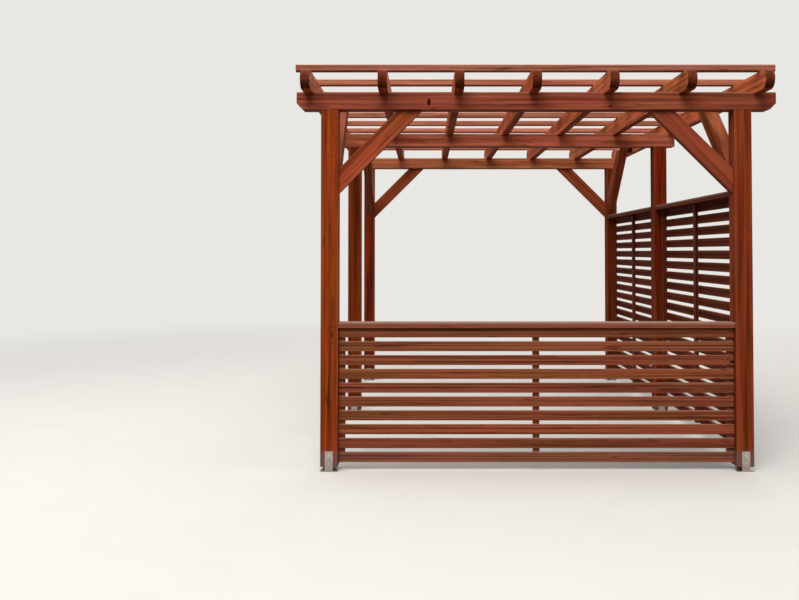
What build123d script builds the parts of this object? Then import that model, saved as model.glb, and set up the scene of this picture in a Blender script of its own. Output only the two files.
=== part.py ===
"""Open garden pergola: posts on steel shoes, beams, rafters, roof battens, knee braces and slatted panels.

The origin is on the ground in the middle of the six posts. +X runs to the side with the tall panels,
+Y to the rear and +Z up.
"""

import os
from math import sqrt

from build123d import *

os.makedirs("parts", exist_ok=True)

# Posts, with the steel shoes that hold them clear of the ground
post_side = 120
post_spacing_x = 2836
post_spacing_y = 1985
post_foot = 32
post_top = 2472

# Beams across the posts
beam_height = 120
front_beam_overhang = 168
beam_end_cut = 42

# Rafters, evenly spaced, seated on the beams by shallow notches: the end ones stand out past the posts
rafter_count = 7
left_rafter_reach = 114
right_rafter_reach = 75
rafter_width = 62
rafter_height = 130
rafter_notch = 12
rafter_overhang = 208
tail_radius = 64
notch_play = 1

# Roof battens across the rafters
batten_count = 10
batten_side = 47
batten_overhang = 44
batten_setback = 98

# Knee braces: the side ones start above the tall panels and lap on packers at the end rafters
brace_width = 120
cross_brace_thickness = 60
side_brace_thickness = 90
cross_brace_leg = 575
brace_foot_gap = 19
brace_lap = 75

# Slatted panels
slat_height = 67
slat_gap = 27.5
slat_thickness = 20
front_panel_setback = 35
side_panel_setback = 10
slat_end_play = 3
stile_width = 45
stile_thickness = 28
cap_thickness = 38
cap_width = 100
cap_setback = 8
front_slat_count = 10
front_panel_foot = 56
side_slat_count = 19
side_panel_foot = 116

# Post shoes, bent and welded from flat steel
shoe_steel = 5
shoe_ear_width = 55
shoe_ear_top = 136
shoe_plate_width = 120
anchor_hole_radius = 5.5
anchor_spacing = 88
ear_hole_radius = 5
ear_hole_heights = (60, 110)
ear_room = 12

# Planed corners of posts, beams and battens
arris = 6

# Levels and places that follow from the sizes
beam_top = post_top + beam_height
rafter_bottom = beam_top - rafter_notch
rafter_top = rafter_bottom + rafter_height
slat_pitch = slat_height + slat_gap
side_panel_top = side_panel_foot + side_slat_count * slat_pitch - slat_gap + cap_thickness
side_brace_leg = rafter_bottom - side_panel_top - brace_foot_gap
half_post = post_side / 2
post_x = post_spacing_x / 2
post_outer_x = post_x + half_post
post_inner_x = post_x - half_post
front_face_y = -post_spacing_y - half_post
rafter_length = 2 * (post_spacing_y + half_post + rafter_overhang)
left_rafter_face = -post_outer_x - left_rafter_reach
right_rafter_face = post_outer_x + right_rafter_reach
rafter_pitch = (right_rafter_face - left_rafter_face - rafter_width) / (rafter_count - 1)
rafter_x = [left_rafter_face + rafter_width / 2 + i * rafter_pitch for i in range(rafter_count)]
side_brace_outer_x = post_inner_x + side_brace_thickness
row_names = {"front": -post_spacing_y, "middle": 0, "rear": post_spacing_y}
side_names = {"left": -post_x, "right": post_x}


def save(piece, name):
    """Label a finished piece and write it as the node of that name."""
    piece.part.label = name
    export_step(piece.part, f"parts/{name}.step")


def make_post(name, x, y):
    """Square post with planed arrises, standing on its shoe and carrying a beam."""
    with BuildPart() as post:
        with BuildSketch(Plane.XY.offset(post_foot)):
            with Locations((x, y)):
                Rectangle(post_side, post_side)
        extrude(amount=post_top - post_foot)
        chamfer(post.edges().filter_by(Axis.Z), arris)
    save(post, name)


def make_shoe(name, x, y):
    """Steel shoe: plate with two anchor holes, a seat under the post and an ear on two of its faces."""
    ear_centre = half_post + shoe_steel / 2
    with BuildPart() as shoe:
        with BuildSketch(Plane.XY):
            with Locations((x, y)):
                Rectangle(shoe_plate_width, post_side + 2 * shoe_steel)
            with Locations((x - anchor_spacing / 2, y), (x + anchor_spacing / 2, y)):
                Circle(anchor_hole_radius, mode=Mode.SUBTRACT)
        extrude(amount=shoe_steel)
        with BuildSketch(Plane.XY.offset(post_foot - shoe_steel)):
            with Locations((x, y)):
                Rectangle(shoe_ear_width, post_side)
        extrude(amount=shoe_steel)
        with BuildSketch(Plane.XY):
            with Locations((x, y - ear_centre), (x, y + ear_centre)):
                Rectangle(shoe_ear_width, shoe_steel)
        extrude(amount=shoe_ear_top)
        with BuildSketch(Plane.XZ.offset(-y)):
            with Locations(*[(x, height) for height in ear_hole_heights]):
                Circle(ear_hole_radius)
        extrude(amount=post_side, both=True, mode=Mode.SUBTRACT)
    save(shoe, name)


def make_beam(name, y, x_left, x_right, end_cut):
    """Beam across a row of posts; with an end cut its lower corners are cut off at 45 degrees."""
    with BuildPart() as beam:
        with BuildSketch(Plane.XZ.offset(-y)):
            with Locations(((x_left + x_right) / 2, post_top + beam_height / 2)):
                Rectangle(x_right - x_left, beam_height)
        extrude(amount=half_post, both=True)
        if end_cut:
            chamfer(beam.edges().filter_by(Axis.Y).group_by(Axis.Z)[0], end_cut)
        chamfer(beam.edges().filter_by(Axis.X).group_by(Axis.Z)[-1], arris)
    save(beam, name)


def make_rafter(name, x):
    """Rafter on edge, notched over each beam, with the lower corner of both tails rounded."""
    with BuildPart() as rafter:
        with BuildSketch(Plane.YZ.offset(x)) as profile:
            with Locations((0, (rafter_bottom + rafter_top) / 2)):
                Rectangle(rafter_length, rafter_height)
            fillet(profile.vertices().group_by(Axis.Z)[0], tail_radius)
            notch_width = post_side + 2 * notch_play
            with Locations(*[(y, beam_top - rafter_notch / 2) for y in row_names.values()]):
                Rectangle(notch_width, rafter_notch, mode=Mode.SUBTRACT)
        extrude(amount=rafter_width / 2, both=True)
    save(rafter, name)


def make_batten(name, y):
    """Roof batten laid across all the rafters."""
    x_middle = (left_rafter_face + right_rafter_face) / 2
    length = right_rafter_face - left_rafter_face + 2 * batten_overhang
    with BuildPart() as batten:
        with BuildSketch(Plane.XY.offset(rafter_top)):
            with Locations((x_middle, y)):
                Rectangle(length, batten_side)
        extrude(amount=batten_side)
        chamfer(batten.edges().filter_by(Axis.X), arris)
    save(batten, name)


def brace_outline(corner, out, leg, lap=0):
    """Points of a 45 degree brace in a corner under a beam: corner, direction of the bay, longer leg."""
    across, up = corner
    short_leg = leg - brace_width * sqrt(2)
    return [
        (across, up - leg),
        (across + out * (leg + lap), up + lap),
        (across + out * (short_leg + lap), up + lap),
        (across, up - short_leg),
    ]


def make_cross_brace(name, side, y):
    """Knee brace between a post's inner face and the underside of its beam."""
    points = brace_outline((side * post_inner_x, post_top), -side, cross_brace_leg)
    with BuildPart() as brace:
        with BuildSketch(Plane.XZ.offset(-y)):
            with BuildLine():
                Polyline(*points, close=True)
            make_face()
        extrude(amount=cross_brace_thickness / 2, both=True)
    save(brace, name)


def make_side_brace(name, side, y, out):
    """Knee brace from a corner post up past an end rafter, flush with the post's inner face."""
    points = brace_outline((y + out * half_post, rafter_bottom), out, side_brace_leg, brace_lap)
    with BuildPart() as brace:
        with BuildSketch(Plane.YZ.offset(side * post_inner_x)):
            with BuildLine():
                Polyline(*points, close=True)
            make_face()
        extrude(amount=side * side_brace_thickness)
    save(brace, name)


def make_packers(name):
    """Blocks that fill the room between the end rafters and the heads of the side knee braces."""
    head = side_brace_leg - brace_width * sqrt(2)
    brace_faces = (-side_brace_outer_x, side_brace_outer_x)
    rafter_faces = (left_rafter_face + rafter_width, right_rafter_face - rafter_width)
    with BuildPart() as packers:
        for brace_face, rafter_face in zip(brace_faces, rafter_faces):
            with BuildSketch(Plane.YZ.offset(brace_face)):
                for out in (-1, 1):
                    start = -out * post_spacing_y + out * half_post
                    with BuildLine():
                        Polyline(
                            (start + out * side_brace_leg, rafter_bottom),
                            (start + out * (side_brace_leg + brace_lap), rafter_bottom + brace_lap),
                            (start + out * (head + brace_lap), rafter_bottom + brace_lap),
                            (start + out * head, rafter_bottom),
                            close=True,
                        )
                    make_face()
            extrude(amount=rafter_face - brace_face)
    save(packers, name)


def make_panel(name, middle, outward_plane, setback, length, slat_count, foot, between_ears=False):
    """Slatted panel with a cap rail: slats on the outer side of three stiles.

    The plane lies in the outer faces of the posts, its normal outward and its X along the panel.
    A panel between the ears of two shoes is cut back at its lower corners to leave them room.
    """
    height = slat_count * slat_pitch - slat_gap
    stile_places = (middle - (length - stile_width) / 2, middle, middle + (length - stile_width) / 2)
    with BuildPart() as panel:
        with BuildSketch(outward_plane.offset(-setback)):
            with Locations(*[(middle, foot + slat_height / 2 + i * slat_pitch) for i in range(slat_count)]):
                Rectangle(length - 2 * slat_end_play, slat_height)
        extrude(amount=-slat_thickness)
        with BuildSketch(outward_plane.offset(-setback - slat_thickness)):
            with Locations(*[(place, foot + height / 2) for place in stile_places]):
                Rectangle(stile_width, height)
        extrude(amount=-stile_thickness)
        with BuildSketch(outward_plane.offset(-cap_setback)):
            with Locations((middle, foot + height + cap_thickness / 2)):
                Rectangle(length, cap_thickness)
        extrude(amount=-cap_width)
        if between_ears:
            relief_width = shoe_steel + ear_room
            relief_height = shoe_ear_top + ear_room - foot
            relief_places = [middle + end * (length - relief_width) / 2 for end in (-1, 1)]
            with BuildSketch(outward_plane):
                with Locations(*[(place, foot + relief_height / 2) for place in relief_places]):
                    Rectangle(relief_width, relief_height)
            extrude(amount=-post_side, mode=Mode.SUBTRACT)
    save(panel, name)


for row, row_y in row_names.items():
    for side, column_x in side_names.items():
        make_post(f"post_{row}_{side}", column_x, row_y)
        make_shoe(f"shoe_{row}_{side}", column_x, row_y)

front_reach = post_outer_x + front_beam_overhang
make_beam("beam_front", row_names["front"], -front_reach, front_reach, beam_end_cut)
make_beam("beam_middle", row_names["middle"], left_rafter_face, right_rafter_face, 0)
make_beam("beam_rear", row_names["rear"], left_rafter_face, right_rafter_face, 0)

for number, place in enumerate(rafter_x, start=1):
    make_rafter(f"rafter_{number}", place)

first_batten = -rafter_length / 2 + batten_setback + batten_side / 2
batten_pitch = -2 * first_batten / (batten_count - 1)
for number in range(batten_count):
    make_batten(f"batten_{number + 1:02d}", first_batten + number * batten_pitch)

for row in ("front", "rear"):
    make_cross_brace(f"cross_brace_{row}_left", -1, row_names[row])
    make_cross_brace(f"cross_brace_{row}_right", 1, row_names[row])
    inward = 1 if row == "front" else -1
    make_side_brace(f"side_brace_{row}_left", -1, row_names[row], inward)
    make_side_brace(f"side_brace_{row}_right", 1, row_names[row], inward)
make_packers("brace_packers")

front_plane = Plane(origin=(0, front_face_y, 0), x_dir=(1, 0, 0), z_dir=(0, -1, 0))
right_plane = Plane(origin=(post_outer_x, 0, 0), x_dir=(0, 1, 0), z_dir=(1, 0, 0))
bay_middle = post_spacing_y / 2
bay_length = post_spacing_y - post_side
make_panel(
    "panel_front", 0, front_plane, front_panel_setback, 2 * post_inner_x, front_slat_count, front_panel_foot
)
for name, place in (("panel_right_front", -bay_middle), ("panel_right_rear", bay_middle)):
    make_panel(
        name, place, right_plane, side_panel_setback, bay_length, side_slat_count, side_panel_foot, True
    )
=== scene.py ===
"""Looks of the garden pergola: glazed softwood, galvanised shoes and fastenings, on a plain pale floor.

Metres, +Z up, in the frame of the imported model: the origin is on the ground in the middle of the posts.
"""

from math import pi, sqrt, tan

import bpy
import numpy as np
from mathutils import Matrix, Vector


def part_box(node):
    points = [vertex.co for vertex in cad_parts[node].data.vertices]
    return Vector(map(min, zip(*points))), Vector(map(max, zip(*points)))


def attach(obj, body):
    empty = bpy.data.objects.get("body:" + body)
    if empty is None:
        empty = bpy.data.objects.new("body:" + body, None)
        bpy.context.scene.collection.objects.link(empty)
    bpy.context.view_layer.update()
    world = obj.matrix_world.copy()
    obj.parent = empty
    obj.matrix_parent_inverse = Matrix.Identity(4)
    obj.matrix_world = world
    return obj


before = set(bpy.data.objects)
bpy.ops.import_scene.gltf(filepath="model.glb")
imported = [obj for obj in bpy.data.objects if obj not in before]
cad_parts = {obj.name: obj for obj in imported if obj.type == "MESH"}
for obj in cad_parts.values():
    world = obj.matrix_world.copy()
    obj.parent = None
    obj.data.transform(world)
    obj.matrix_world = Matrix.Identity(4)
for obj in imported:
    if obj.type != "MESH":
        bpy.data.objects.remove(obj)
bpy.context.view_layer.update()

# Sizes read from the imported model
post_low, post_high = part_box("post_front_left")
post_side = post_high.x - post_low.x
post_x = -(post_low.x + post_high.x) / 2
post_y = -(post_low.y + post_high.y) / 2
beam_low, beam_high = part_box("beam_front")
rafter_low, rafter_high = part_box("rafter_1")
rafter_x = [sum(corner.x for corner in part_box(f"rafter_{n}")) / 2 for n in range(1, 8)]
rafter_pitch = rafter_x[1] - rafter_x[0]
batten_low, batten_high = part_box("batten_01")
batten_y = [sum(corner.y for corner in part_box(f"batten_{n:02d}")) / 2 for n in range(1, 11)]
batten_pitch = batten_y[1] - batten_y[0]

# Sizes of the boards in the panels, of the knee braces and of the shoes, as in the part's source
slat_height = 0.067
slat_pitch = 0.0945
slat_thickness = 0.02
front_setback = 0.027
side_setback = 0.002
stile_width = 0.045
stile_thickness = 0.028
cap_thickness = 0.038
cap_width = 0.1
brace_width = 0.12
cross_brace_thickness = 0.06
side_brace_thickness = 0.09
shoe_steel_thickness = 0.005

# The photograph's frame and its camera: sizes in its pixels, places in metres, the tilt in radians
photo_width = 799
photo_height = 600
vanishing_point = (425.5, 252)
focal_pixels = 819.0
pitch = 0.022
sensor_width = 36
camera_place = (-0.7606, -7.645, 1.493)

smoothstep = {"interpolation_type": "SMOOTHSTEP"}


def linear(colour):
    """The linear colour of an sRGB hex value."""
    srgb = np.array([int(colour[i:i + 2], 16) for i in (1, 3, 5)]) / 255
    value = np.where(srgb <= 0.04045, srgb / 12.92, ((srgb + 0.055) / 1.055) ** 2.4)
    return (*value.tolist(), 1)


def add(tree, kind, inputs=None, **settings):
    """Add a shader node of this kind with its own settings.

    Each input is a value, a socket to link from, or a node, which stands for the first of its open outputs.
    """
    made = tree.nodes.new(kind)
    for name, value in settings.items():
        setattr(made, name, value)
    for name, value in (inputs or {}).items():
        if isinstance(value, bpy.types.Node):
            value = next(output for output in value.outputs if output.enabled)
        if isinstance(value, bpy.types.NodeSocket):
            tree.links.new(value, made.inputs[name])
        else:
            made.inputs[name].default_value = value
    return made


def empty_material(name):
    """A material with nothing in its node tree, and that tree."""
    material = bpy.data.materials.new(name)
    material.use_nodes = True
    material.node_tree.nodes.clear()
    return material, material.node_tree


def set_camera():
    """Camera at the photographer's eye, looking along +Y and a little upward, its frame shifted back."""
    data = bpy.data.cameras.new("camera")
    data.sensor_width = sensor_width
    data.lens = sensor_width * focal_pixels / photo_width
    data.shift_x = (photo_width / 2 - vanishing_point[0]) / photo_width
    data.shift_y = (vanishing_point[1] - photo_height / 2 - focal_pixels * tan(pitch)) / photo_width
    camera = bpy.data.objects.new("camera", data)
    camera.location = camera_place
    camera.rotation_euler = (pi / 2 + pitch, 0, 0)
    bpy.context.scene.collection.objects.link(camera)
    bpy.context.scene.camera = camera


bpy.context.scene.view_settings.view_transform = "Standard"
set_camera()

# Stage

backdrop_colour = linear("#E9E7E3")
floor_colour = linear("#D6D2CC")
floor_shade = linear("#5A524C")
sky_colour = linear("#F2F4F7")
sky_strength = 0.55

# Place, target, side in metres and power in watts of each lamp
lamps = {
    "front_lamp": ((-2.5, -9.8, 11.2), (0, 0, 1.6), 8.0, 1300),
    "left_lamp": ((-7.5, -2.5, 6.5), (0, 0, 1.6), 5.0, 170),
    "right_lamp": ((8.0, -3.0, 5.5), (0, 0, 1.6), 5.0, 130),
    "top_lamp": ((-1.0, 0.0, 8.5), (0, 0, 1.5), 6.0, 170),
    "rear_lamp": ((3.0, 11.0, 7.0), (0, 0, 1.6), 7.0, 450),
}


def make_lamp(name, place, target, side, power):
    """Square soft lamp at a place, facing a target."""
    data = bpy.data.lights.new(name, "AREA")
    data.shape = "SQUARE"
    data.size = side
    data.energy = power
    made = bpy.data.objects.new(name, data)
    made.location = place
    made.rotation_euler = (Vector(target) - Vector(place)).to_track_quat("-Z", "Y").to_euler()
    bpy.context.scene.collection.objects.link(made)


def seen_ray(tree):
    """1 for rays that show the backdrop, to the camera or in a gloss; 0 for rays that light the object."""
    path = add(tree, "ShaderNodeLightPath")
    glossy = add(tree, "ShaderNodeMath", {0: path.outputs["Is Camera Ray"], 1: path.outputs["Is Glossy Ray"]},
                 operation="MAXIMUM")
    return add(tree, "ShaderNodeMath", {0: glossy, 1: path.outputs["Is Transmission Ray"]},
               operation="MAXIMUM")


def set_world():
    """Even overcast light; the backdrop that is seen has its own pale colour."""
    world = bpy.data.worlds.new("overcast")
    world.use_nodes = True
    tree = world.node_tree
    tree.nodes.clear()
    light = add(tree, "ShaderNodeBackground", {"Color": sky_colour, "Strength": sky_strength})
    backdrop = add(tree, "ShaderNodeBackground", {"Color": backdrop_colour, "Strength": 1.0})
    mixed = add(tree, "ShaderNodeMixShader", {0: seen_ray(tree), 1: light, 2: backdrop})
    add(tree, "ShaderNodeOutputWorld", {"Surface": mixed})
    bpy.context.scene.world = world


def floor_material():
    """Matt pale floor. It fades into the backdrop far out, and sends back less light than it shows."""
    material, tree = empty_material("matt_studio_floor")
    seen = seen_ray(tree)
    place = add(tree, "ShaderNodeTexCoord").outputs["Object"]
    speckle = add(tree, "ShaderNodeTexNoise", {"Vector": place, "Scale": 3.0, "Detail": 4.0})
    lighter = tuple(min(1, c * 1.06) for c in floor_colour)
    pale = add(tree, "ShaderNodeMix", {"Factor": speckle, "A": floor_colour, "B": lighter}, data_type="RGBA")
    colour = add(tree, "ShaderNodeMix", {"Factor": seen, "A": floor_shade, "B": pale}, data_type="RGBA")
    matt = add(tree, "ShaderNodeBsdfDiffuse", {"Color": colour})
    glow = add(tree, "ShaderNodeEmission", {"Color": backdrop_colour, "Strength": 1.0})
    distance = add(tree, "ShaderNodeVectorMath", {0: place}, operation="LENGTH")
    far = add(tree, "ShaderNodeMapRange", {"Value": distance, "From Min": 3.0, "From Max": 12.0},
              **smoothstep)
    fade = add(tree, "ShaderNodeMath", {0: far, 1: seen}, operation="MULTIPLY")
    mixed = add(tree, "ShaderNodeMixShader", {0: fade, 1: matt, 2: glow})
    add(tree, "ShaderNodeOutputMaterial", {"Surface": mixed})
    return material


def make_floor():
    """Round floor: radius and angle on a grid, with z at the ground under the shoes."""
    rings, turns, reach = 24, 96, 60
    radius = reach * np.linspace(0, 1, rings + 1)[1:, None] ** 2
    angle = np.linspace(0, 2 * pi, turns, endpoint=False)
    ground = np.stack([radius * np.cos(angle), radius * np.sin(angle), 0 * radius * angle], -1)
    points = np.vstack([ground.reshape(-1, 3), [[0, 0, 0]]])
    ring, turn = np.meshgrid(np.arange(rings - 1), np.arange(turns), indexing="ij")
    after = (turn + 1) % turns
    quads = np.stack([ring * turns + turn, (ring + 1) * turns + turn,
                      (ring + 1) * turns + after, ring * turns + after], -1).reshape(-1, 4)
    centre = np.full(turns, len(points) - 1)
    spokes = np.stack([centre, np.arange(turns), (np.arange(turns) + 1) % turns], -1)
    mesh = bpy.data.meshes.new("floor")
    mesh.from_pydata(points.tolist(), [], quads.tolist() + spokes.tolist())
    mesh.materials.append(floor_material())
    floor = bpy.data.objects.new("floor", mesh)
    bpy.context.scene.collection.objects.link(floor)


set_world()
make_floor()
for lamp_name, facts in lamps.items():
    make_lamp(lamp_name, *facts)

# Wood

knot_colour = linear("#3E150B")
end_colour = linear("#340F07")
# Rubbed arrises, lightened further as a painted highlight; weathered tops, paled further as a painted sheen
rubbed_and_highlight_colour = linear("#B26C4A")
weathered_and_sheen_colour = linear("#A88676")
earth_colour = linear("#75605B")

# Turns that bring the grain to Z, by the direction of the grain; up and down are braces at 45 degrees
grain_turns = {
    "x": (0, -pi / 2, 0),
    "y": (pi / 2, 0, 0),
    "z": (0, 0, 0),
    "x_up": (0, -pi / 4, 0),
    "x_down": (0, pi / 4, 0),
    "y_up": (pi / 4, 0, 0),
    "y_down": (-pi / 4, 0, 0),
}
far_apart = 40      # spacing along an axis that has only one board
knot_cell = (0.15, 0.15, 0.34)  # across the grain both ways, and along it
pith_spread = 0.16  # the pith lies up to half of this off the board's middle, either way
year_width = 0.011

# The stiles' set starts this far behind the slats, and the cap rail's this far below its underside, so that
# every face lies wholly in the set of its own board
behind_slats = 0.0002
below_cap = 0.0005


def board_set(turn, first, spacing, half, beyond=None):
    """Boards of one grain direction; a set after the first holds where place . direction is over a limit."""
    return {"turn": turn, "first": first, "spacing": spacing, "half": half, "beyond": beyond}


def board_place(tree, place, board):
    """Place inside the board with its grain turned to Z, the board's middle, and how far its arris is.

    Boards stand at first + n * spacing, and each has the cell round its middle. half is half the board's
    section; on its surface the arris is as far off as the larger of half - |place| over the two sides.
    """
    first, spacing = Vector(board["first"]), Vector(board["spacing"])
    from_edge = add(tree, "ShaderNodeVectorMath", {0: place, 1: first - spacing / 2}, operation="SUBTRACT")
    counted = add(tree, "ShaderNodeVectorMath", {0: from_edge, 1: spacing}, operation="DIVIDE")
    number = add(tree, "ShaderNodeVectorMath", {0: counted}, operation="FLOOR")
    middle = add(tree, "ShaderNodeVectorMath", {0: number, 1: spacing, 2: first}, operation="MULTIPLY_ADD")
    inside = add(tree, "ShaderNodeVectorMath", {0: place, 1: middle}, operation="SUBTRACT")
    turned = add(tree, "ShaderNodeMapping", {"Vector": inside, "Rotation": grain_turns[board["turn"]]})
    off_axis = add(tree, "ShaderNodeVectorMath", {0: turned}, operation="ABSOLUTE")
    short_of = add(tree, "ShaderNodeVectorMath", {0: (*board["half"], 0), 1: off_axis}, operation="SUBTRACT")
    sides = add(tree, "ShaderNodeSeparateXYZ", {"Vector": short_of})
    arris = add(tree, "ShaderNodeMath", {0: sides.outputs[0], 1: sides.outputs[1]}, operation="MAXIMUM")
    return turned, middle, arris


def end_grain(tree, board):
    """1 on the ends of a board and wherever its fibres are cut across, 0 on its sides."""
    normal = add(tree, "ShaderNodeNewGeometry").outputs["Normal"]
    facing = add(tree, "ShaderNodeMapping", {"Vector": normal, "Rotation": grain_turns[board["turn"]]},
                 vector_type="NORMAL")
    parts = add(tree, "ShaderNodeSeparateXYZ", {"Vector": facing})
    along = add(tree, "ShaderNodeMath", {0: parts.outputs[2]}, operation="ABSOLUTE")
    return add(tree, "ShaderNodeMapRange", {"Value": along, "From Min": 0.15, "From Max": 0.55}, **smoothstep)


def all_boards(tree, place, boards):
    """Place, middle, arris and end grain of every board: each later set holds beyond its plane."""
    found = (*board_place(tree, place, boards[0]), end_grain(tree, boards[0]))
    for board in boards[1:]:
        direction, limit = board["beyond"]
        reach = add(tree, "ShaderNodeVectorMath", {0: place, 1: direction}, operation="DOT_PRODUCT")
        beyond = add(tree, "ShaderNodeMath", {0: reach, 1: limit}, operation="GREATER_THAN")
        own = (*board_place(tree, place, board), end_grain(tree, board))
        found = [add(tree, "ShaderNodeMix", {"Factor": beyond, "A": before, "B": after}, data_type=kind)
                 for kind, before, after in zip(("VECTOR", "VECTOR", "FLOAT", "FLOAT"), found, own)]
    return found


def stretched_noise(tree, place, across, along, detail):
    """Noise drawn out along the grain: so many metres across it and along it from streak to streak."""
    scaled = add(tree, "ShaderNodeVectorMath", {0: place, 1: (across, across, along)}, operation="DIVIDE")
    return add(tree, "ShaderNodeTexNoise",
               {"Vector": scaled, "Scale": 1.0, "Detail": detail, "Roughness": 0.55})


def knots(tree, own, share):
    """Knot mask, and how far the grain is pushed aside round a knot. This share of the cells has one."""
    scaled = add(tree, "ShaderNodeVectorMath", {0: own, 1: knot_cell}, operation="DIVIDE")
    cells = add(tree, "ShaderNodeTexVoronoi", {"Vector": scaled, "Scale": 1.0, "Randomness": 0.9})
    chosen = add(tree, "ShaderNodeSeparateColor", {"Color": cells.outputs["Color"]})
    present = add(tree, "ShaderNodeMath", {0: chosen.outputs[0], 1: share}, operation="LESS_THAN")
    near = add(tree, "ShaderNodeMapRange", {"Value": cells, "From Min": 0.34, "From Max": 0.05},
               **smoothstep)
    heart = add(tree, "ShaderNodeMapRange", {"Value": cells, "From Min": 0.12, "From Max": 0.07},
                **smoothstep)
    knot = add(tree, "ShaderNodeMath", {0: heart, 1: present}, operation="MULTIPLY")
    pushed = add(tree, "ShaderNodeMath", {0: near, 1: present}, operation="MULTIPLY")
    return knot, pushed


def growth_rings(tree, inside, own, chance, pushed):
    """Latewood mask: distance from a pith that wanders along the board, cut into growth years.

    Real years are 2 to 5 mm wide; they are drawn 11 mm wide so that they show from across a garden.
    """
    pith = add(tree, "ShaderNodeVectorMath",
               {0: chance, 1: (pith_spread, pith_spread, 0), 2: (-pith_spread / 2, -pith_spread / 2, 0)},
               operation="MULTIPLY_ADD")
    wander = stretched_noise(tree, own, 0.6, 0.9, 2.0).outputs["Color"]
    bent = add(tree, "ShaderNodeVectorMath", {0: wander, 1: (0.07, 0.07, 0), 2: pith},
               operation="MULTIPLY_ADD")
    from_pith = add(tree, "ShaderNodeVectorMath", {0: inside, 1: bent}, operation="SUBTRACT")
    flat = add(tree, "ShaderNodeVectorMath", {0: from_pith, 1: (1, 1, 0)}, operation="MULTIPLY")
    radius = add(tree, "ShaderNodeVectorMath", {0: flat}, operation="LENGTH")
    ripple = stretched_noise(tree, own, 0.03, 0.5, 3.0)
    bulge = add(tree, "ShaderNodeMath", {0: pushed, 1: 0.02, 2: radius}, operation="MULTIPLY_ADD")
    uneven = add(tree, "ShaderNodeMath", {0: ripple, 1: 0.014, 2: bulge}, operation="MULTIPLY_ADD")
    years = add(tree, "ShaderNodeMath", {0: uneven, 1: year_width}, operation="DIVIDE")
    year = add(tree, "ShaderNodeMath", {0: years}, operation="FRACT")
    ring = add(tree, "ShaderNodeValToRGB", {"Fac": year})
    steps = ring.color_ramp.elements
    steps[0].color = (0, 0, 0, 1)
    steps[1].position = 0.82
    steps[1].color = (1, 1, 1, 1)
    steps.new(0.55).color = (0.25, 0.25, 0.25, 1)
    steps.new(0.97).color = (0, 0, 0, 1)
    return ring


def drying_checks(tree, own):
    """Fine cracks along the grain, where a drawn-out noise crosses its middle, in patches of half a metre.

    Real checks are 1 mm wide; they are drawn about 2 mm wide so that they show.
    """
    line = stretched_noise(tree, own, 0.035, 1.1, 1.0)
    off = add(tree, "ShaderNodeMath", {0: line, 1: 0.5}, operation="SUBTRACT")
    size = add(tree, "ShaderNodeMath", {0: off}, operation="ABSOLUTE")
    crack = add(tree, "ShaderNodeMapRange", {"Value": size, "From Min": 0.016, "From Max": 0.006},
                **smoothstep)
    area = stretched_noise(tree, own, 0.12, 0.5, 1.0)
    patch = add(tree, "ShaderNodeMapRange", {"Value": area, "From Min": 0.5, "From Max": 0.6}, **smoothstep)
    return add(tree, "ShaderNodeMath", {0: crack, 1: patch}, operation="MULTIPLY")


def spot(tree, place, centre, size):
    """1 inside an ellipsoid with this centre and these half axes, 0 outside."""
    away = add(tree, "ShaderNodeVectorMath", {0: place, 1: centre}, operation="SUBTRACT")
    scaled = add(tree, "ShaderNodeVectorMath", {0: away, 1: size}, operation="DIVIDE")
    distance = add(tree, "ShaderNodeVectorMath", {0: scaled}, operation="LENGTH")
    return add(tree, "ShaderNodeMapRange", {"Value": distance, "From Min": 1.1, "From Max": 0.7},
               **smoothstep)


def countersinks(tree, place, first, spacing):
    """1 in the screw holes of the battens: round spots 11 mm across on the top faces, at every crossing.

    Only what is above the last millimetre of a batten counts as its top face.
    """
    top_face = batten_high.z - 0.001
    from_edge = add(tree, "ShaderNodeVectorMath", {0: place, 1: Vector(first) - Vector(spacing) / 2},
                    operation="SUBTRACT")
    snapped = add(tree, "ShaderNodeVectorMath", {0: from_edge, 1: spacing}, operation="SNAP")
    away = add(tree, "ShaderNodeVectorMath", {0: place, 1: snapped}, operation="SUBTRACT")
    centred = add(tree, "ShaderNodeVectorMath", {0: away, 1: first}, operation="SUBTRACT")
    flat = add(tree, "ShaderNodeVectorMath", {0: centred, 1: (1, 1, 0)}, operation="MULTIPLY")
    distance = add(tree, "ShaderNodeVectorMath", {0: flat}, operation="LENGTH")
    hole = add(tree, "ShaderNodeMapRange", {"Value": distance, "From Min": 0.0062, "From Max": 0.0048},
               **smoothstep)
    height = add(tree, "ShaderNodeSeparateXYZ", {"Vector": place}).outputs[2]
    top = add(tree, "ShaderNodeMath", {0: height, 1: top_face}, operation="GREATER_THAN")
    return add(tree, "ShaderNodeMath", {0: hole, 1: top}, operation="MULTIPLY")


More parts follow.
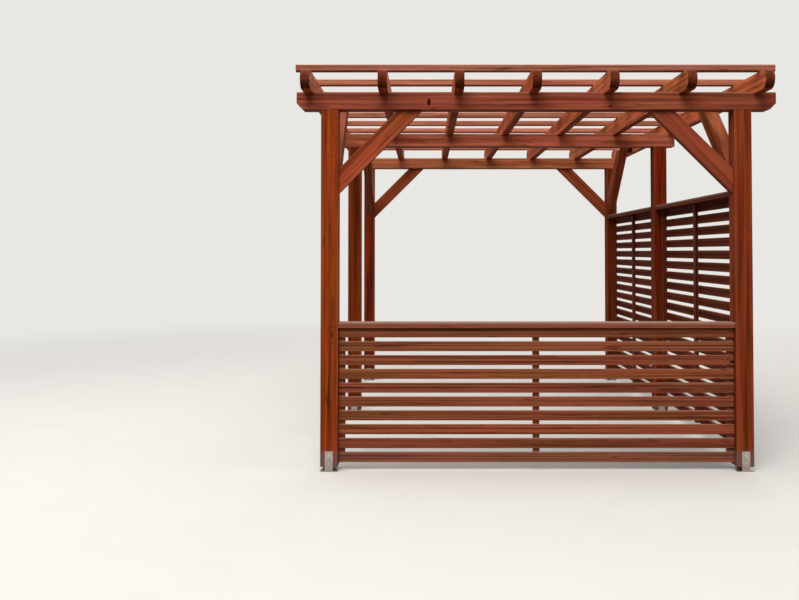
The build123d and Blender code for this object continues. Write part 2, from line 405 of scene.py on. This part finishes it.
def glaze(tree, streak, cloud, fibre, ring, chance, light, dark):
    """Colour of the glaze, and how deep it has sunk in: streaks, clouds, latewood and fibres darken it."""
    streaked = add(tree, "ShaderNodeMapRange",
                   {"Value": streak, "From Min": 0.32, "From Max": 0.68, "To Min": -0.3, "To Max": 0.8},
                   clamp=False)
    clouded = add(tree, "ShaderNodeMath", {0: cloud, 1: 0.9, 2: streaked}, operation="MULTIPLY_ADD")
    ringed = add(tree, "ShaderNodeMath", {0: ring, 1: 0.28, 2: clouded}, operation="MULTIPLY_ADD")
    fine = add(tree, "ShaderNodeMath", {0: fibre, 1: 0.3, 2: ringed}, operation="MULTIPLY_ADD")
    depth = add(tree, "ShaderNodeMath", {0: fine, 1: 0.45}, operation="SUBTRACT", use_clamp=True)
    mixed = add(tree, "ShaderNodeMix", {"Factor": depth, "A": linear(light), "B": linear(dark)},
                data_type="RGBA")
    # No two boards are alike: each has its own hue, strength and lightness of colour
    draws = add(tree, "ShaderNodeSeparateColor", {"Color": chance}).outputs
    board_hue = add(tree, "ShaderNodeMapRange", {"Value": draws[0], "To Min": 0.475, "To Max": 0.485})
    hue = add(tree, "ShaderNodeMath", {0: cloud, 1: 0.04, 2: board_hue}, operation="MULTIPLY_ADD")
    strength = add(tree, "ShaderNodeMapRange", {"Value": draws[1], "To Min": 0.975, "To Max": 1.005})
    tone = add(tree, "ShaderNodeMapRange", {"Value": draws[2], "To Min": 0.9, "To Max": 1.1})
    colour = add(tree, "ShaderNodeHueSaturation",
                 {"Color": mixed, "Hue": hue, "Saturation": strength, "Value": tone})
    return colour, depth


def wear_and_painted_light(tree, colour, arris, cloud, height, washed):
    """The colour with arrises paled by wear and a painted highlight, a painted highlight on each face's
    border, and weathered tops under a painted sheen.
    """
    # Painted highlight: a paler border along each face
    border = add(tree, "ShaderNodeMapRange",
                 {"Value": arris, "From Min": 0.028, "From Max": 0.012, "To Max": 0.10}, **smoothstep)
    # Arrises paler from rubbing, lightened further as a painted highlight
    edge = add(tree, "ShaderNodeMapRange",
               {"Value": arris, "From Min": 0.009, "From Max": 0.002, "To Max": 0.30}, **smoothstep)
    both = add(tree, "ShaderNodeMath", {0: border, 1: edge}, operation="ADD")
    patchy = add(tree, "ShaderNodeMapRange",
                 {"Value": cloud, "From Min": 0.35, "From Max": 0.65, "To Min": 0.5, "To Max": 1.3})
    rub_and_highlight = add(tree, "ShaderNodeMath", {0: both, 1: patchy}, operation="MULTIPLY")
    rubbed_and_highlit = add(tree, "ShaderNodeMix", {"Factor": rub_and_highlight, "A": colour, "B": rubbed_and_highlight_colour}, data_type="RGBA")

    # Tops greyed by sun and rain, paled further as a painted sheen of the sky
    normal = add(tree, "ShaderNodeNewGeometry").outputs["Normal"]
    up = add(tree, "ShaderNodeSeparateXYZ", {"Vector": normal}).outputs[2]
    top = add(tree, "ShaderNodeMapRange", {"Value": up, "From Min": 0.6, "From Max": 0.95, "To Max": 0.55},
              **smoothstep)
    wear_and_painted_sheen = add(tree, "ShaderNodeMath", {0: top, 1: patchy}, operation="MULTIPLY")
    # Below an upper arris the glaze is thinner, and a painted highlight of the lit arris is laid there
    if washed:
        arris_z, reach, most = washed
        thin = add(tree, "ShaderNodeMapRange",
                   {"Value": height, "From Min": arris_z - reach, "From Max": arris_z, "To Max": most},
                   **smoothstep)
        wear_and_painted_sheen = add(tree, "ShaderNodeMath", {0: wear_and_painted_sheen, 1: thin}, operation="MAXIMUM")
    return add(tree, "ShaderNodeMix", {"Factor": wear_and_painted_sheen, "A": rubbed_and_highlit, "B": weathered_and_sheen_colour}, data_type="RGBA")


def softwood(name, boards, light, dark, streak_size=(0.025, 1.1), knotty=0.3, washed=None, foot_dirt=0.0,
             marks=(), holes=None):
    """Planed spruce under a matt red-brown glaze.

    The eye sees long streaks where the wood drank more or less of the glaze, darker latewood lines, dark
    knots and end grain, thin drying checks, arrises paler from rubbing and a painted highlight, a painted
    highlight along each face's border, and greyer tops from rain and sun, paled further by a painted sheen.
    knotty is the share of cells with a knot, and washed is the height of an upper arris, how far below it
    the glaze wears thin under a painted highlight, and how much. marks are dark spots where a knot can be
    told in the photograph, and holes is the first crossing with its spacing.
    """
    material, tree = empty_material(name)
    place = add(tree, "ShaderNodeTexCoord").outputs["Object"]
    height = add(tree, "ShaderNodeSeparateXYZ", {"Vector": place}).outputs[2]
    inside, middle, arris, end = all_boards(tree, place, boards)
    chance = add(tree, "ShaderNodeTexWhiteNoise", {"Vector": middle}).outputs["Color"]
    own = add(tree, "ShaderNodeVectorMath", {0: chance, 1: (9.1, 8.3, 7.7), 2: inside},
              operation="MULTIPLY_ADD")
    knot, pushed = knots(tree, own, knotty)
    ring = growth_rings(tree, inside, own, chance, pushed)
    streak = stretched_noise(tree, own, *streak_size, 3.0)
    cloud = stretched_noise(tree, own, 0.14, 0.7, 2.0)
    fibre = stretched_noise(tree, own, 0.0035, 0.09, 2.0)
    colour, depth = glaze(tree, streak, cloud, fibre, ring, chance, light, dark)
    colour = wear_and_painted_light(tree, colour, arris, cloud, height, washed)

    # Knots, checks, end grain that drinks more glaze, and splashed earth near the ground
    checks = add(tree, "ShaderNodeMath", {0: drying_checks(tree, own), 1: 0.55}, operation="MULTIPLY")
    flaws = [checks, *(spot(tree, place, *mark) for mark in marks)]
    if holes:
        flaws.append(countersinks(tree, place, *holes))
    flaw = knot
    for other in flaws:
        flaw = add(tree, "ShaderNodeMath", {0: flaw, 1: other}, operation="MAXIMUM")
    knotted = add(tree, "ShaderNodeMix", {"Factor": flaw, "A": colour, "B": knot_colour}, data_type="RGBA")
    soaked = add(tree, "ShaderNodeMath", {0: end, 1: 0.8}, operation="MULTIPLY")
    ended = add(tree, "ShaderNodeMix", {"Factor": soaked, "A": knotted, "B": end_colour}, data_type="RGBA")
    low = add(tree, "ShaderNodeMapRange",
              {"Value": height, "From Min": 0.17, "From Max": 0.09, "To Max": foot_dirt}, **smoothstep)
    splash = add(tree, "ShaderNodeMapRange",
                 {"Value": streak, "From Min": 0.35, "From Max": 0.6, "To Min": 0.6}, **smoothstep)
    dirt = add(tree, "ShaderNodeMath", {0: low, 1: splash}, operation="MULTIPLY")
    soiled = add(tree, "ShaderNodeMix", {"Factor": dirt, "A": ended, "B": earth_colour}, data_type="RGBA")

    # Matt glaze, duller on latewood; the planed grain stands up by a fraction of a millimetre
    gloss = add(tree, "ShaderNodeMapRange", {"Value": depth, "To Min": 0.55, "To Max": 0.7})
    relief = add(tree, "ShaderNodeMath", {0: ring, 1: 0.5, 2: fibre}, operation="MULTIPLY_ADD")
    sunk = add(tree, "ShaderNodeMath", {0: flaw, 1: -1.5, 2: relief}, operation="MULTIPLY_ADD")
    bump = add(tree, "ShaderNodeBump", {"Strength": 0.6, "Distance": 0.0008, "Height": sunk})
    surface = add(tree, "ShaderNodeBsdfPrincipled",
                  {"Base Color": soiled, "Roughness": gloss, "IOR": 1.5, "Specular IOR Level": 0.02,
                   "Normal": bump})
    add(tree, "ShaderNodeOutputMaterial", {"Surface": surface})
    return material


def panel_axes(node_name):
    """Axes along a panel's slats and out of them, the slats' outer face, and which way its stiles stand."""
    low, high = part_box(node_name)
    if node_name == "panel_front":
        return 0, 1, low.y + front_setback, 1
    return 1, 0, high.x - side_setback, -1


def panel_wood(node_name):
    """Slats, stiles and cap rail of one panel."""
    low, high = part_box(node_name)
    along, out, face, back = panel_axes(node_name)
    slat_out = face + back * slat_thickness / 2
    cap = (low + high) / 2
    cap.z = high.z - cap_thickness / 2
    slat, stile = Vector(cap), (low + high) / 2
    slat[out], slat.z = slat_out, low.z + slat_height / 2
    stile[out] = slat_out + back * (slat_thickness + stile_thickness) / 2
    stile_spacing = [far_apart] * 3
    stile_spacing[along] = (high[along] - low[along] - stile_width) / 2
    backward = [0, 0, 0]
    backward[out] = back
    grain = "xy"[along]
    order = 1 if along == 0 else -1     # a half section is given along X and Y once the grain is turned to Z
    sets = [
        board_set(grain, slat, (far_apart, far_apart, slat_pitch),
                  (slat_height / 2, slat_thickness / 2)[::order]),
        board_set("z", stile, stile_spacing, (stile_width / 2, stile_thickness / 2)[::order],
                  (backward, back * slat_out + slat_thickness / 2 + behind_slats)),
        board_set(grain, cap, (far_apart,) * 3, (cap_thickness / 2, cap_width / 2)[::order],
                  ((0, 0, 1), high.z - cap_thickness - below_cap)),
    ]
    # The side panels are much darker than the front panel: painted shade, as they stand under the roof
    light, dark = ("#AA5C3C", "#5A2A18") if node_name == "panel_front" else ("#6A2810", "#3A1204")
    return softwood(f"glazed_spruce_{node_name}", sets, light, dark, streak_size=(0.012, 2.4), knotty=0.08,
                    washed=(high.z, 0.026, 0.7), foot_dirt=0.2)


def brace_wood(turn, node_name, spacing, half):
    """Knee braces of one slope: the axis of the board is half its width above the middle of its box."""
    low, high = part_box(node_name)
    first = (low + high) / 2 + Vector((0, 0, brace_width / sqrt(2)))
    boards = [board_set(turn, first, spacing, half)]
    return softwood(f"glazed_spruce_braces_{turn}", boards, "#AC5630", "#702E18")


def galvanised_steel(name, pale, dull):
    """Hot-dip galvanised steel.

    The eye sees a matt silver grey with a faint spangle of 9 mm crystals and duller, whiter patches of
    bloom, and splashed earth near the ground.
    """
    material, tree = empty_material(name)
    place = add(tree, "ShaderNodeTexCoord").outputs["Object"]
    spangle = add(tree, "ShaderNodeTexVoronoi", {"Vector": place, "Scale": 1 / 0.009})
    bloom = add(tree, "ShaderNodeTexNoise", {"Vector": place, "Scale": 1 / 0.04, "Detail": 4.0})
    crystal = add(tree, "ShaderNodeSeparateColor", {"Color": spangle.outputs["Color"]}).outputs[0]
    mixed = add(tree, "ShaderNodeMath", {0: crystal, 1: 0.5, 2: bloom}, operation="MULTIPLY_ADD",
                use_clamp=True)
    colour = add(tree, "ShaderNodeMix", {"Factor": mixed, "A": linear(dull), "B": linear(pale)},
                 data_type="RGBA")
    height = add(tree, "ShaderNodeSeparateXYZ", {"Vector": place}).outputs[2]
    low = add(tree, "ShaderNodeMapRange",
              {"Value": height, "From Min": 0.12, "From Max": 0.01, "To Max": 0.7}, **smoothstep)
    splash = add(tree, "ShaderNodeMath", {0: low, 1: bloom}, operation="MULTIPLY")
    soiled = add(tree, "ShaderNodeMix", {"Factor": splash, "A": colour, "B": earth_colour}, data_type="RGBA")
    gloss = add(tree, "ShaderNodeMapRange", {"Value": mixed, "To Min": 0.6, "To Max": 0.42})
    bump = add(tree, "ShaderNodeBump", {"Strength": 0.3, "Distance": 0.0003, "Height": mixed})
    surface = add(tree, "ShaderNodeBsdfPrincipled",
                  {"Base Color": soiled, "Roughness": gloss, "Metallic": 1.0, "Normal": bump})
    add(tree, "ShaderNodeOutputMaterial", {"Surface": surface})
    return material


def bronzed_screw_steel():
    """Carbon steel wood screws with a brown corrosion coat.

    The eye sees small dull dark brown heads that hardly stand out from the glaze.
    """
    material, tree = empty_material("brown_coated_screw_steel")
    place = add(tree, "ShaderNodeTexCoord").outputs["Object"]
    mottle = add(tree, "ShaderNodeTexNoise", {"Vector": place, "Scale": 1 / 0.006, "Detail": 3.0})
    colour = add(tree, "ShaderNodeMix", {"Factor": mottle, "A": linear("#4A2A1E"), "B": linear("#6B4330")},
                 data_type="RGBA")
    gloss = add(tree, "ShaderNodeMapRange", {"Value": mottle, "To Min": 0.55, "To Max": 0.4})
    surface = add(tree, "ShaderNodeBsdfPrincipled",
                  {"Base Color": colour, "Roughness": gloss, "Metallic": 0.6})
    add(tree, "ShaderNodeOutputMaterial", {"Surface": surface})
    return material


weld_distance = 0.0001
rounded_from = 0.5  # angle in radians between two faces from which their edge is rounded


def give(node_name, material, rounding):
    """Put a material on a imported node, and round its edges."""
    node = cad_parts[node_name]
    node.data.materials.clear()
    node.data.materials.append(material)
    weld = node.modifiers.new("weld", "WELD")
    weld.merge_threshold = weld_distance
    bevel = node.modifiers.new("rounded_edges", "BEVEL")
    bevel.width = rounding
    bevel.segments = 2
    bevel.limit_method = "ANGLE"
    bevel.angle_limit = rounded_from
    bevel.harden_normals = True


post_middle_z = 1.25
packer_cell = 2.5
packer_half = 1     # far more than half a packer's section, so that no arris or face border of a packer is paled by rubbing or painted highlight

post_boards = [board_set("z", (-post_x, -post_y, post_middle_z), (2 * post_x, post_y, far_apart),
                         (post_side / 2, post_side / 2))]
beam_boards = [board_set("x", (0, -post_y, (beam_low.z + beam_high.z) / 2), (far_apart, post_y, far_apart),
                         ((beam_high.z - beam_low.z) / 2, (beam_high.y - beam_low.y) / 2))]
rafter_boards = [board_set("y", (rafter_x[0], 0, (rafter_low.z + rafter_high.z) / 2),
                           (rafter_pitch, far_apart, far_apart),
                           ((rafter_high.x - rafter_low.x) / 2, (rafter_high.z - rafter_low.z) / 2))]
batten_boards = [board_set("x", (0, batten_y[0], (batten_low.z + batten_high.z) / 2),
                           (far_apart, batten_pitch, far_apart),
                           ((batten_high.z - batten_low.z) / 2,) * 2)]
packer_boards = [board_set("y", (0, 0, rafter_low.z), (packer_cell, packer_cell, far_apart),
                           (packer_half, packer_half))]

left_post_wood = softwood("glazed_spruce_front_left_post", post_boards, "#AA4C1C", "#742A10",
                          knotty=0.12, foot_dirt=0.95)
right_post_wood = softwood("glazed_spruce_front_right_post", post_boards, "#943A14", "#601E0A",
                           knotty=0.12, foot_dirt=0.95)
# Darker than the front posts: painted shade, as the inner posts stand under the roof
shaded_inner_post_wood = softwood("glazed_spruce_inner_posts_painted_shade", post_boards, "#8A3408", "#4C1604",
                           knotty=0.12, foot_dirt=0.7)
# The two marks are knots on the front face, about 56 mm and 18 mm high
front_beam_wood = softwood("glazed_spruce_front_beam", beam_boards, "#C85E46", "#823426",
                           knotty=0.01, washed=(beam_high.z, 0.014, 0.4),
                           marks=(((-0.737, beam_low.y, 2.521), (0.014, 0.02, 0.028)),
                                  ((0.512, beam_low.y, 2.494), (0.011, 0.02, 0.009))))
# Paler than the front beam: painted light that offsets the shade under the roof
lightened_inner_beam_wood = softwood("glazed_spruce_inner_beams_painted_light", beam_boards, "#CC7450", "#86422C",
                           knotty=0.15, washed=(beam_high.z, 0.014, 0.3))
rafter_wood = softwood("glazed_spruce_rafters", rafter_boards, "#C8663A", "#8A3E22",
                       washed=(rafter_high.z, 0.012, 0.3))
batten_wood = softwood("glazed_spruce_battens", batten_boards, "#C07A62", "#80442C",
                       streak_size=(0.015, 1.6), knotty=0.12, washed=(batten_high.z, 0.01, 0.35),
                       holes=((rafter_x[0], batten_y[0], 0), (rafter_pitch, batten_pitch, far_apart)))
packer_wood = softwood("glazed_spruce_packers", packer_boards, "#AC5630", "#702E18")
shoe_zinc = galvanised_steel("hot_dip_galvanised_steel", "#C2B8B0", "#968A82")

# Material, and rounding in metres, by the start of the node's name; the first that fits counts
looks = {
    "post_front_left": (left_post_wood, 0.002),
    "post_front_right": (right_post_wood, 0.002),
    "post": (shaded_inner_post_wood, 0.002),
    "beam_front": (front_beam_wood, 0.002),
    "beam": (lightened_inner_beam_wood, 0.002),
    "rafter": (rafter_wood, 0.003),
    "batten": (batten_wood, 0.001),
    "brace_packers": (packer_wood, 0.003),
    "shoe": (shoe_zinc, 0.001),
}
side_brace_gap = 2 * (post_x - post_side / 2 + side_brace_thickness / 2)
cross_facts = (far_apart, 2 * post_y, far_apart), (brace_width / 2, cross_brace_thickness / 2)
side_facts = (side_brace_gap, far_apart, far_apart), (side_brace_thickness / 2, brace_width / 2)
for turn, facts, names in (
        ("x_up", cross_facts, ("cross_brace_front_left", "cross_brace_rear_left")),
        ("x_down", cross_facts, ("cross_brace_front_right", "cross_brace_rear_right")),
        ("y_up", side_facts, ("side_brace_front_left", "side_brace_front_right")),
        ("y_down", side_facts, ("side_brace_rear_left", "side_brace_rear_right"))):
    brace = brace_wood(turn, names[0], *facts)
    looks.update({node_name: (brace, 0.003) for node_name in names})
panels = [node_name for node_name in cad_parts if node_name.startswith("panel")]
looks.update({node_name: (panel_wood(node_name), 0.002) for node_name in panels})

for node_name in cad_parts:
    give(node_name, *next(look for start, look in looks.items() if node_name.startswith(start)))

# Fastenings

up = (0, 0, 1)


def turned_pieces(name, profile, sides, places, outward, material):
    """Small turned or six-sided shapes of one kind, all in one piece.

    Each is a profile of radius and height carried round its own axis: point = place + radius * cos(angle)
    * u + radius * sin(angle) * v + height * outward, on a grid of profile step and angle. The profile starts
    and ends on the axis, so both poles are closed. Each shape starts its turn at another angle.
    """
    places = np.atleast_2d(places).astype(float)
    outward = np.broadcast_to(np.atleast_2d(outward).astype(float), places.shape)
    count = len(places)
    helper = np.where(np.abs(outward[:, 2:]) > 0.9, [[1.0, 0, 0]], [[0, 0, 1.0]])
    u = np.cross(helper, outward)
    u /= np.linalg.norm(u, axis=1, keepdims=True)
    v = np.cross(outward, u)
    radius, height = np.array(profile).T
    rings = len(radius) - 2
    angle = 2.4 * np.arange(count)[:, None] + 2 * pi * np.arange(sides) / sides
    across = (np.cos(angle)[..., None] * u[:, None] + np.sin(angle)[..., None] * v[:, None])[:, None]
    ring_points = (places[:, None, None] + radius[1:-1][None, :, None, None] * across
                   + height[1:-1][None, :, None, None] * outward[:, None, None])
    poles = places[:, None] + height[[0, -1]][None, :, None] * outward[:, None]
    points = np.concatenate([ring_points.reshape(count, -1, 3), poles], axis=1)
    ring, turn = np.meshgrid(np.arange(rings - 1), np.arange(sides), indexing="ij")
    after = (turn + 1) % sides
    quads = np.stack([ring * sides + turn, ring * sides + after,
                      (ring + 1) * sides + after, (ring + 1) * sides + turn], -1).reshape(-1, 4)
    turn, after = np.arange(sides), (np.arange(sides) + 1) % sides
    bottom = np.stack([np.full(sides, rings * sides), after, turn], -1)
    last = (rings - 1) * sides
    top = np.stack([np.full(sides, rings * sides + 1), last + turn, last + after], -1)
    offsets = points.shape[1] * np.arange(count)[:, None, None]
    faces = (quads + offsets).reshape(-1, 4).tolist()
    faces += (np.vstack([bottom, top]) + offsets).reshape(-1, 3).tolist()
    mesh = bpy.data.meshes.new(name)
    mesh.from_pydata(points.reshape(-1, 3).tolist(), [], faces)
    mesh.materials.append(material)
    piece = bpy.data.objects.new(name, mesh)
    bpy.context.scene.collection.objects.link(piece)
    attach(piece, "root")


def grid(xs, ys, zs):
    """Every combination of the three lists of coordinates, as rows of points."""
    return np.stack(np.meshgrid(xs, ys, zs, indexing="ij"), -1).reshape(-1, 3)


def hexagon_head(across_flats, thickness, under):
    """Profile of a six-sided head or nut with its upper corners taken off, on a washer as thick as under."""
    corner = across_flats / sqrt(3)
    return [(0, under), (corner, under), (corner, under + 0.8 * thickness),
            (0.88 * corner, under + thickness), (0, under + thickness)]


def washer(outside, thickness):
    """Profile of a flat washer; its hole is under the head."""
    return [(0, 0), (outside / 2, 0), (outside / 2, thickness), (0, thickness)]


screw_head = [(0, -0.002), (0.0045, -0.002), (0.0055, 0.0004), (0.0018, 0.0006), (0, -0.0008)]
stud_end = [(0, 0), (0.005, 0), (0.005, 0.0145), (0.004, 0.0155), (0, 0.0155)]

# Zinc-plated bolts look a little paler and colder than the hot-dip galvanised shoes
bolt_zinc = galvanised_steel("zinc_plated_steel", "#C9C8C2", "#A5A39C")
screw_brown = bronzed_screw_steel()

post_xs, post_ys = (-post_x, post_x), (-post_y, 0, post_y)
ear_screw_heights = (0.06, 0.11)
anchor_spacing = 0.088
beam_screw_spacing = 0.06
cross_brace_screw_spacing = 0.028
side_brace_screw_spacing = 0.044
brace_foot_to_screws = 0.05
brace_head_to_screws = 0.07
brace_bolt_spacing = 0.08
slat_screw_spacing = 0.034

# Coach screws with washers through the two ears of each shoe
ear_out = post_side / 2 + shoe_steel_thickness
ear_screws = np.vstack([grid(post_xs, [y + side * ear_out for y in post_ys], ear_screw_heights)
                        for side in (-1, 1)])
ear_outward = np.repeat([[0, -1, 0], [0, 1, 0]], len(ear_screws) // 2, axis=0)
ear_washer = 0.0018
turned_pieces("shoe_screw_washers", washer(0.020, ear_washer), 16, ear_screws, ear_outward, bolt_zinc)
turned_pieces("shoe_screw_heads", hexagon_head(0.013, 0.0055, ear_washer), 6, ear_screws, ear_outward,
              bolt_zinc)

# Anchors through the foot plates: washer, nut and the end of the stud
anchors = grid([x + side * anchor_spacing / 2 for x in post_xs for side in (-1, 1)], post_ys,
               (shoe_steel_thickness,))
anchor_washer = 0.002
turned_pieces("anchor_washers", washer(0.020, anchor_washer), 16, anchors, up, bolt_zinc)
turned_pieces("anchor_nuts", hexagon_head(0.017, 0.008, anchor_washer), 6, anchors, up, bolt_zinc)
turned_pieces("anchor_studs", stud_end, 12, anchors, up, bolt_zinc)

# Screws down through the rafters into the beams, and through the beams into the posts
turned_pieces("rafter_screws", screw_head, 10, grid(rafter_x, post_ys, (rafter_high.z,)), up, screw_brown)
beam_screws = grid([x + side * beam_screw_spacing / 2 for x in post_xs for side in (-1, 1)], post_ys,
                   (beam_high.z,))
turned_pieces("beam_screws", screw_head, 10, beam_screws, up, screw_brown)

# Screws in the ends of each brace, in pairs through its lower face at right angles to it: in both ends of
# a cross brace, and in the lower end of a side brace, whose head is bolted
for node_name in (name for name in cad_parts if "_brace_" in name):
    low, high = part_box(node_name)
    along, out = (0, 1) if node_name.startswith("cross") else (1, 0)
    inward = 1 if low[along] < 0 else -1
    start, direction, outward, aside = np.array((low + high) / 2), np.zeros(3), np.zeros(3), np.zeros(3)
    start[along], start[2] = low[along] if inward > 0 else high[along], low.z
    direction[along], direction[2] = inward / sqrt(2), 1 / sqrt(2)
    outward[along], outward[2] = inward / sqrt(2), -1 / sqrt(2)
    aside[out] = (cross_brace_screw_spacing if along == 0 else side_brace_screw_spacing) / 2
    length = (high.z - low.z) * sqrt(2)
    steps = [brace_foot_to_screws, length - brace_head_to_screws] if along == 0 else [brace_foot_to_screws]
    heads = [start + step * direction + side * aside for step in steps for side in (-1, 1)]
    turned_pieces(f"{node_name}_screws", screw_head, 10, heads, outward, screw_brown)

# Bolts through the heads of the side braces, their packers and the end rafters: heads inside, nuts outside
packer_low, packer_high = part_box("brace_packers")
side_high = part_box("side_brace_front_left")[1]
bolt_z = (packer_low.z + packer_high.z) / 2
brace_axis_y = side_high.y - brace_width / sqrt(2) - (side_high.z - bolt_z)
bolt_ys = [end * brace_axis_y + side * brace_bolt_spacing / 2 for end in (-1, 1) for side in (-1, 1)]
inner_x, left_x, right_x = side_high.x, rafter_low.x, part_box("rafter_7")[1].x
bolts = np.vstack([grid([x], bolt_ys, [bolt_z]) for x in (inner_x, -inner_x, left_x, right_x)])
bolt_outward = np.repeat([[1, 0, 0], [-1, 0, 0], [-1, 0, 0], [1, 0, 0]], len(bolt_ys), axis=0)
bolt_washer = 0.0025
turned_pieces("brace_bolt_washers", washer(0.030, bolt_washer), 18, bolts, bolt_outward, bolt_zinc)
turned_pieces("brace_bolt_heads", hexagon_head(0.017, 0.0065, bolt_washer), 6, bolts, bolt_outward,
              bolt_zinc)

# Screws from the stiles into the slats, two to a slat at each stile, and down through the cap rails
for node_name in panels:
    low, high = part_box(node_name)
    along, out, face, back = panel_axes(node_name)
    slat_count = round((high.z - cap_thickness - low.z + slat_pitch - slat_height) / slat_pitch)
    places = [None, None, [low.z + slat_height / 2 + i * slat_pitch + side * slat_screw_spacing / 2
                           for i in range(slat_count) for side in (-1, 1)]]
    places[along] = [low[along] + stile_width / 2, (low[along] + high[along]) / 2,
                     high[along] - stile_width / 2]
    stile_face = face + back * (slat_thickness + stile_thickness)
    places[out] = [stile_face]
    outward = np.zeros(3)
    outward[out] = back
    turned_pieces(f"{node_name}_slat_screws", screw_head, 8, grid(*places), outward, screw_brown)
    places[out] = [stile_face - back * stile_thickness / 2]
    places[2] = [high.z]
    turned_pieces(f"{node_name}_cap_screws", screw_head, 8, grid(*places), up, screw_brown)
